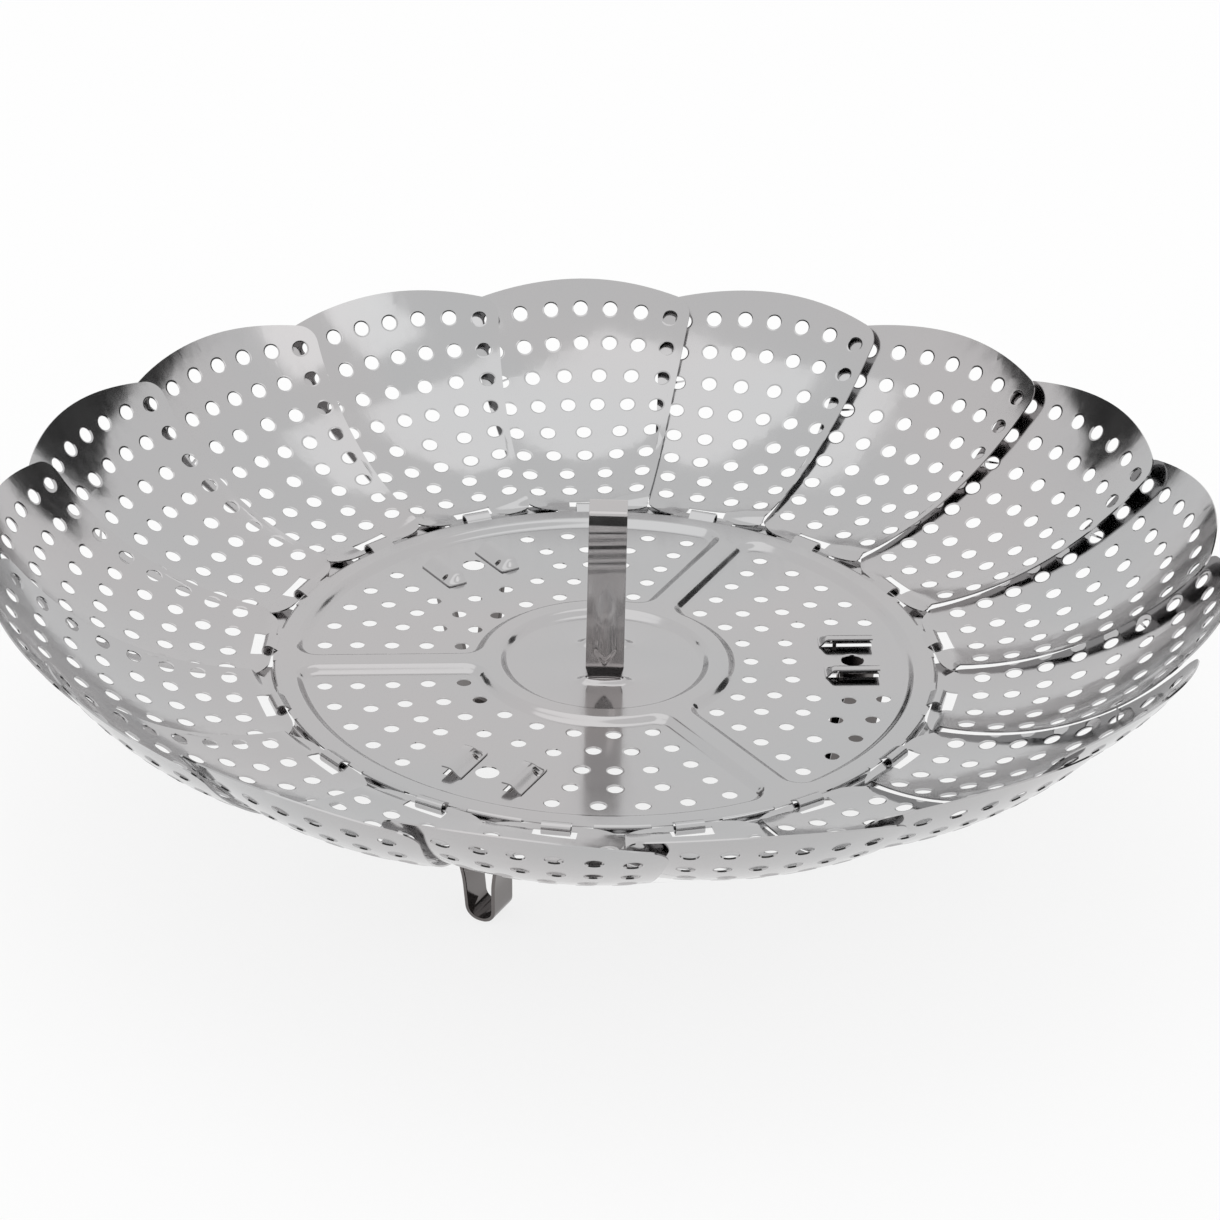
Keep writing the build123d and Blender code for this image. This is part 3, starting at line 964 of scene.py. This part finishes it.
def steel_finish(name, finish, steels, wave_scales, wave_height, grain_stretch):
    """Polished stainless steel with soft waves, smudges and fine drawn lines."""
    material, nodes, links = new_material(name)
    shader = nodes["Principled BSDF"]
    shader.inputs["Metallic"].default_value = 1
    place = nodes.new("ShaderNodeTexCoord")
    # Slow colour drift between two tints of the sheet
    drift = add_node(nodes, "ShaderNodeTexNoise", {"Scale": 16, "Detail": 2})
    links.new(place.outputs["Object"], drift.inputs["Vector"])
    tint = nodes.new("ShaderNodeMix")
    tint.data_type = "RGBA"
    for socket, steel in zip(("A", "B"), steels):
        tint.inputs[socket].default_value = (*steel, 1)
    spread = add_node(nodes, "ShaderNodeMapRange", {"From Min": 0.38, "From Max": 0.62})
    links.new(drift.outputs["Fac"], spread.inputs["Value"])
    links.new(spread.outputs["Result"], tint.inputs["Factor"])
    links.new(tint.outputs["Result"], shader.inputs["Base Color"])
    # Smudges and drawn lines in the polish
    smudge = add_node(nodes, "ShaderNodeTexNoise", {"Scale": 55, "Detail": 4})
    links.new(place.outputs["Object"], smudge.inputs["Vector"])
    stretch = add_node(nodes, "ShaderNodeMapping", {"Scale": grain_stretch})
    links.new(place.outputs["Object"], stretch.inputs["Vector"])
    grain = add_node(nodes, "ShaderNodeTexNoise", {"Scale": 420, "Detail": 2})
    links.new(stretch.outputs["Vector"], grain.inputs["Vector"])
    blend = add_node(nodes, "ShaderNodeMix", {"Factor": 0.4})
    links.new(smudge.outputs["Fac"], blend.inputs["A"])
    links.new(grain.outputs["Fac"], blend.inputs["B"])
    polish = add_node(nodes, "ShaderNodeMapRange", {"From Min": 0.35, "From Max": 0.65})
    polish.inputs["To Min"].default_value = finish.polish
    polish.inputs["To Max"].default_value = finish.polish + polish_spread
    links.new(blend.outputs["Result"], polish.inputs["Value"])
    links.new(polish.outputs["Result"], shader.inputs["Roughness"])
    # Soft waves left by the press
    wave = add_node(nodes, "ShaderNodeTexNoise", {"Scale": 1, "Detail": 1.5})
    ripple = add_node(nodes, "ShaderNodeMapping", {"Scale": wave_scales})
    links.new(place.outputs["Object"], ripple.inputs["Vector"])
    links.new(ripple.outputs["Vector"], wave.inputs["Vector"])
    waves = add_node(nodes, "ShaderNodeBump", {"Distance": wave_height})
    links.new(wave.outputs["Fac"], waves.inputs["Height"])
    lines = add_node(nodes, "ShaderNodeBump", {"Strength": 0.12, "Distance": 0.01 * mm})
    links.new(grain.outputs["Fac"], lines.inputs["Height"])
    links.new(waves.outputs["Normal"], lines.inputs["Normal"])
    links.new(lines.outputs["Normal"], shader.inputs["Normal"])
    return material


def finish_for(name, finish):
    """The finish of that name, made when it is first needed."""
    sheet = (finish.steel, finish.cool_steel)
    strip = (finish.strip, finish.cool_strip)
    # The feet's tints are painted shade: darkened to stand in for the shade and dark reflections under the
    # petals
    foot = (finish.foot, finish.cool_foot_painted_shade)
    # Tints, scales and height of the soft waves, and stretch of the drawn lines
    kinds = {
        "petal_polish": (sheet, (38, 38, 38), 0.24 * mm, (1, 1, 0.12)),
        "plate_polish": (sheet, (30, 30, 30), 0.14 * mm, (1, 0.1, 1)),
        "strip_polish": (strip, (24, 24, 90), 0.3 * mm, (1, 1, 0.08)),
        "foot_painted_shade_polish": (foot, (60, 60, 40), 0.3 * mm, (1, 1, 0.08)),
    }
    return bpy.data.materials.get(name) or steel_finish(name, finish, *kinds[name])


# Finish of each kind of node, by the first word of its name
node_finishes = {
    "base": "plate_polish",
    "petal": "petal_polish",
    # Foot nodes take the feet's finish, with painted shade in its colour
    "foot": "foot_painted_shade_polish",
    "lift": "strip_polish",
}


def dress_nodes(finish):
    """Give every CAD node its finish too."""
    for name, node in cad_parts.items():
        kind = node_finishes[name.split("_")[0]]
        node.data.materials.clear()
        node.data.materials.append(finish_for(kind, finish))


class STEAMER_OT_petals(bpy.types.Operator):
    """Make the ring of perforated petals"""

    bl_idname = "steamer.petals"
    bl_label = "Petals"

    def execute(self, context):
        blank = make_petal_blank(context.scene.steamer_sizes)
        blank.data.materials.append(finish_for("petal_polish", context.scene.steamer_finish))
        for number in range(petal_count):
            name = f"petal_{number + 1:02d}"
            sheet = turned_copy(blank, name + "_sheet", petal_turn(number))
            hand_over(sheet, name, name)
        bpy.data.objects.remove(blank)
        return {"FINISHED"}


class STEAMER_OT_plate(bpy.types.Operator):
    """Make the pressed plate with its hinge tabs, skirt, louvers and slot lips"""

    bl_idname = "steamer.plate"
    bl_label = "Plate"

    def execute(self, context):
        sizes = context.scene.steamer_sizes
        parts = [make_pressed_sheet(sizes)]
        tab = make_tab(sizes)
        skirt = make_skirt(sizes)
        lips = [make_lip(side, sizes) for side in (-1, 1)]
        for number in range(petal_count):
            turn = petal_turn(number)
            parts.append(turned_copy(tab, "tab", turn))
            parts.append(turned_copy(skirt, "skirt", turn))
            parts += [turned_copy(lip, "lip", turn) for lip in lips]
        for blank in (tab, skirt, *lips):
            bpy.data.objects.remove(blank)
        for side in (-1, 1):
            louver = make_louver(side, sizes)
            for foot in range(foot_count):
                parts.append(turned_copy(louver, "louver", 2 * pi * foot / foot_count))
            bpy.data.objects.remove(louver)
        plate = join(parts)
        plate.name = "plate_sheet"
        smooth(plate, sheet_edge_angle)
        plate.data.materials.append(finish_for("plate_polish", context.scene.steamer_finish))
        hand_over(plate, "plate", "base_plate")
        return {"FINISHED"}


class STEAMER_OT_feet(bpy.types.Operator):
    """Make the three folding feet"""

    bl_idname = "steamer.feet"
    bl_label = "Feet"

    def execute(self, context):
        blank = make_foot_blank(context.scene.steamer_sizes)
        blank.data.materials.clear()
        # The feet get the darkened steel, whose colour holds painted shade and painted dark reflections
        blank.data.materials.append(finish_for("foot_painted_shade_polish", context.scene.steamer_finish))
        for number in range(foot_count):
            name = f"foot_{number + 1}"
            copy = turned_copy(blank, name + "_strip", 2 * pi * number / foot_count)
            hand_over(copy, name, name)
        bpy.data.objects.remove(blank)
        return {"FINISHED"}


class STEAMER_OT_handle(bpy.types.Operator):
    """Make the upright strip handle"""

    bl_idname = "steamer.handle"
    bl_label = "Handle"

    def execute(self, context):
        handle = make_handle(context.scene.steamer_sizes)
        handle.data.materials.append(finish_for("strip_polish", context.scene.steamer_finish))
        hand_over(handle, "lift_handle", "lift_handle")
        dress_nodes(context.scene.steamer_finish)
        return {"FINISHED"}


class STEAMER_OT_stage(bpy.types.Operator):
    """Set up the floor, the soft lights, the white surroundings and the camera"""

    bl_idname = "steamer.stage"
    bl_label = "Stage"

    def execute(self, context):
        finish = context.scene.steamer_finish
        bpy.ops.object.select_all(action="DESELECT")
        bpy.ops.mesh.primitive_plane_add(size=floor_size)
        floor = bpy.context.object
        floor.name = "studio_floor"
        floor.data.materials.append(floor_finish(finish))
        set_world(finish)
        add_light("key_light", (-0.15, 0.15, 1.7), (1.6, 1.2), finish.key_power)
        add_light("fill_light", (0.9, -0.7, 1.1), (0.5, 1.0), finish.key_power * fill_power_share)
        for name, start, end, top in flags:
            add_flag(name, start, end, top)
        set_camera(context)
        context.scene.view_settings.view_transform = "Standard"
        return {"FINISHED"}


def floor_finish(finish):
    """Pale floor that the camera and the metal see as white, with the basket's soft shadow."""
    material, nodes, links = new_material("studio_floor")
    shader = nodes["Principled BSDF"]
    shader.inputs["Base Color"].default_value = (*finish.floor, 1)
    shader.inputs["Roughness"].default_value = 0.9
    glow = add_node(nodes, "ShaderNodeEmission", {"Color": white})
    seen = seen_directly(nodes, links)
    share = nodes.new("ShaderNodeMath")
    share.operation = "MULTIPLY"
    share.inputs[1].default_value = floor_glow_share
    links.new(seen, share.inputs[0])
    mix = nodes.new("ShaderNodeMixShader")
    links.new(share.outputs[0], mix.inputs["Fac"])
    links.new(shader.outputs["BSDF"], mix.inputs[1])
    links.new(glow.outputs["Emission"], mix.inputs[2])
    links.new(mix.outputs["Shader"], nodes["Material Output"].inputs["Surface"])
    return material


def seen_directly(nodes, links):
    """One for camera, glossy and transmission rays, and nothing for the light that falls on things."""
    path = nodes.new("ShaderNodeLightPath")
    seen = path.outputs["Is Camera Ray"]
    for kind in ("Is Glossy Ray", "Is Transmission Ray"):
        larger = nodes.new("ShaderNodeMath")
        larger.operation = "MAXIMUM"
        links.new(seen, larger.inputs[0])
        links.new(path.outputs[kind], larger.inputs[1])
        seen = larger.outputs[0]
    return seen


def set_world(finish):
    """Soft grey surroundings that the camera and the metal see as white."""
    world = bpy.data.worlds.new("studio")
    bpy.context.scene.world = world
    world.use_nodes = True
    nodes = world.node_tree.nodes
    links = world.node_tree.links
    soft = nodes["Background"]
    soft.inputs["Color"].default_value = white
    soft.inputs["Strength"].default_value = finish.world_level
    bright = add_node(nodes, "ShaderNodeBackground", {"Color": white})
    mix = nodes.new("ShaderNodeMixShader")
    links.new(seen_directly(nodes, links), mix.inputs["Fac"])
    links.new(soft.outputs["Background"], mix.inputs[1])
    links.new(bright.outputs["Background"], mix.inputs[2])
    links.new(mix.outputs["Shader"], nodes["World Output"].inputs["Surface"])


def add_light(name, place, size, power):
    """One large soft light that faces the basket."""
    way = Vector((0, 0, hinge_height)) - Vector(place)
    bpy.ops.object.light_add(type="AREA", location=place, rotation=way.to_track_quat("-Z", "Y").to_euler())
    light = bpy.context.object
    light.name = name
    light.data.shape = "RECTANGLE"
    light.data.size, light.data.size_y = size
    light.data.energy = power


def add_flag(name, start, end, top):
    """A dark cloth on a curved stand, which only shows as a dark reflection in the steel."""
    ring = arc_points((0, 0), flag_distance, radians(start), radians(end), flag_columns)
    rows = [[Vector((x, y, top * step / flag_rows)) for x, y in ring] for step in range(flag_rows + 1)]
    flag = add_grid(name, rows)
    flag.visible_camera = False
    flag.visible_diffuse = False
    flag.visible_shadow = False
    flag.visible_transmission = False
    flag.data.materials.append(bpy.data.materials.get("dark_cloth") or cloth_finish())


def cloth_finish():
    """Dark cloth with a faint mottle."""
    material, nodes, links = new_material("dark_cloth")
    place = nodes.new("ShaderNodeTexCoord")
    mottle = add_node(nodes, "ShaderNodeTexNoise", {"Scale": 3})
    links.new(place.outputs["Object"], mottle.inputs["Vector"])
    shade = add_node(nodes, "ShaderNodeMapRange", {"To Min": 0.03, "To Max": 0.09})
    links.new(mottle.outputs["Fac"], shade.inputs["Value"])
    glow = add_node(nodes, "ShaderNodeEmission", {"Color": white})
    links.new(shade.outputs["Result"], glow.inputs["Strength"])
    links.new(glow.outputs["Emission"], nodes["Material Output"].inputs["Surface"])
    return material


def set_camera(context):
    """Camera at the photograph's place and angle, with its slight roll."""
    way = Vector((0, 0, hinge_height)) - camera_place
    rotation = way.to_track_quat("-Z", "Y").to_matrix() @ Matrix.Rotation(camera_roll, 3, "Z")
    bpy.ops.object.camera_add(location=camera_place, rotation=rotation.to_euler())
    camera = bpy.context.object
    camera.name = "photo_camera"
    camera.data.lens = camera_lens
    camera.data.shift_x, camera.data.shift_y = camera_shift
    camera.data.clip_start = camera_near
    context.scene.camera = camera


class STEAMER_PT_panel(bpy.types.Panel):
    """Sizes, finishes and pieces of the steamer basket"""

    bl_idname = "STEAMER_PT_panel"
    bl_label = "Steamer Basket"
    bl_space_type = "VIEW_3D"
    bl_region_type = "UI"
    bl_category = "Steamer"

    def draw(self, context):
        for group in (context.scene.steamer_sizes, context.scene.steamer_finish):
            box = self.layout.box()
            for name in group.bl_rna.properties.keys():
                if name not in ("rna_type", "name"):
                    box.prop(group, name)
        for operator in operators:
            self.layout.operator(operator.bl_idname)


operators = (STEAMER_OT_petals, STEAMER_OT_plate, STEAMER_OT_feet, STEAMER_OT_handle, STEAMER_OT_stage)
classes = (SteamerSizes, SteamerFinish, *operators, STEAMER_PT_panel)


def register():
    """Register the classes and the settings kept with the scene."""
    for entry in classes:
        bpy.utils.register_class(entry)
    bpy.types.Scene.steamer_sizes = PointerProperty(type=SteamerSizes)
    bpy.types.Scene.steamer_finish = PointerProperty(type=SteamerFinish)


def unregister():
    """Take the settings and the classes away again."""
    del bpy.types.Scene.steamer_finish
    del bpy.types.Scene.steamer_sizes
    for entry in reversed(classes):
        bpy.utils.unregister_class(entry)


def main():
    """Make the basket and its studio."""
    register()
    bpy.ops.steamer.petals()
    bpy.ops.steamer.plate()
    bpy.ops.steamer.feet()
    bpy.ops.steamer.handle()
    bpy.ops.steamer.stage()


if __name__ == "__main__":
    main()
